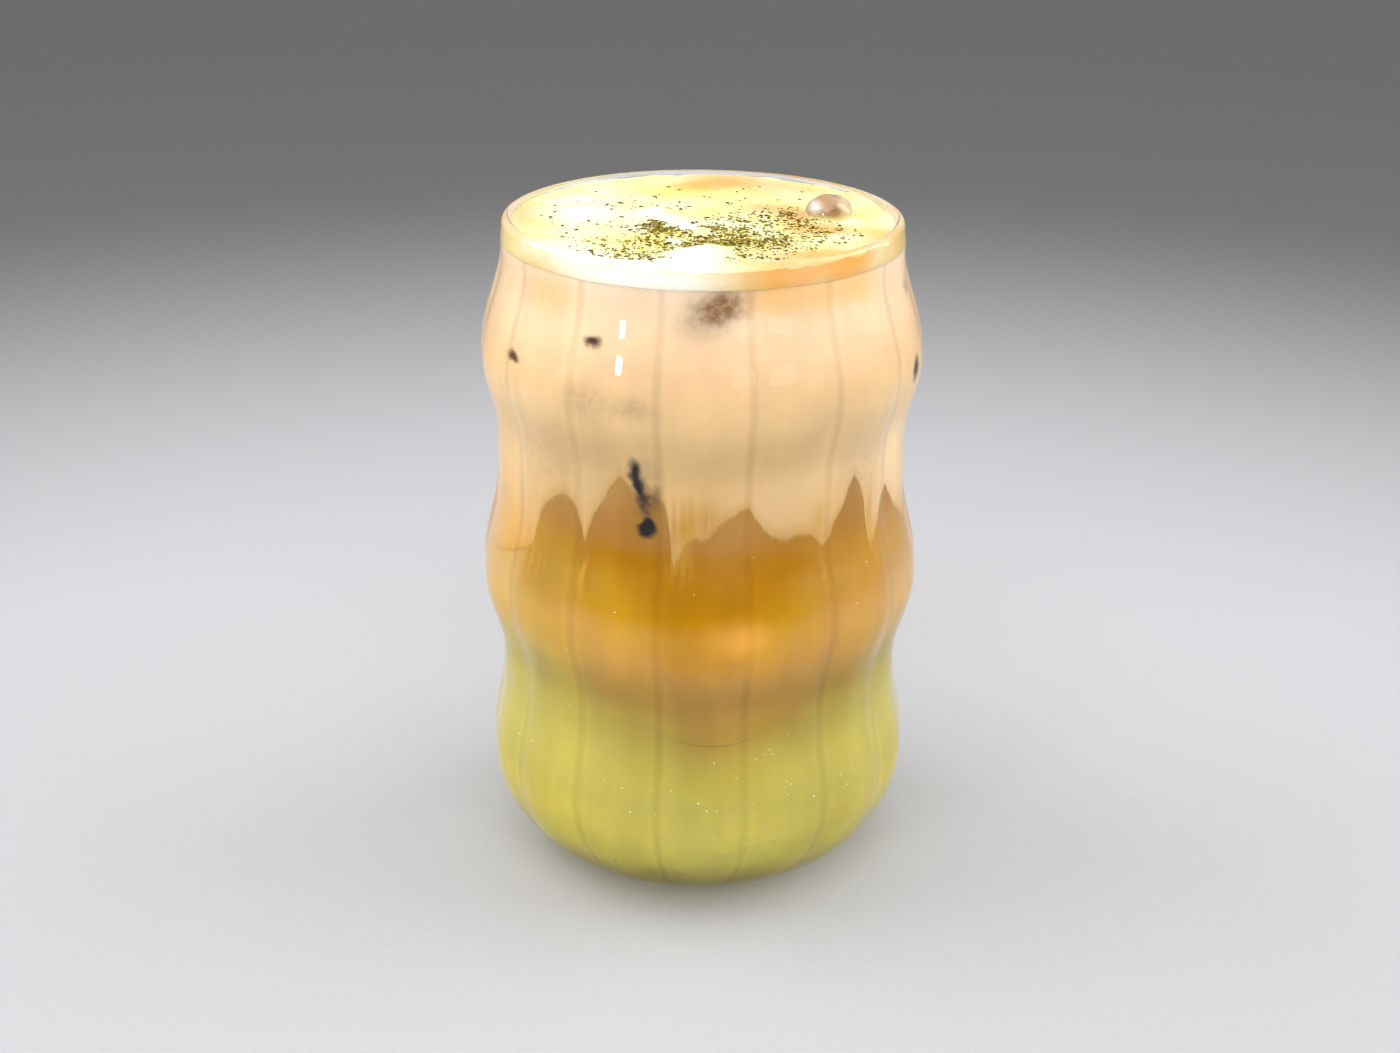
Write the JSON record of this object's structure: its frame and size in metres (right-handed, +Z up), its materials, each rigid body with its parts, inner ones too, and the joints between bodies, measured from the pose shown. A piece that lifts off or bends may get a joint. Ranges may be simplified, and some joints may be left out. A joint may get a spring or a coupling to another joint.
{
  "type": "iced matcha latte",
  "caption": "Layered iced matcha and coffee latte, with milk foam, matcha powder and ice, in a rippled and fluted glass tumbler.",
  "frame": {"origin": "middle of the glass's foot, on the surface it stands on", "axes": "+Z up along the glass's axis; -Y is the front that the picture shows; +X is its right"},
  "size_m": [0.0848, 0.0848, 0.1305],
  "materials": {
    "glass": "clear, smooth, pressed with shallow flutes",
    "matcha_milk": "cloudy pale green liquid",
    "coffee": "cloudy amber liquid",
    "milk": "opaque cream coloured liquid",
    "foam": "soft milk foam with fine bubbles and matcha powder",
    "ice": "wet melted ice"
  },
  "bodies": {
    "root": {"glass": "glass", "matcha_milk": "matcha_milk", "coffee_layer": "coffee", "milk_layer": "milk", "foam": "foam", "ice_cube": "ice"}
  },
  "joints": []
}
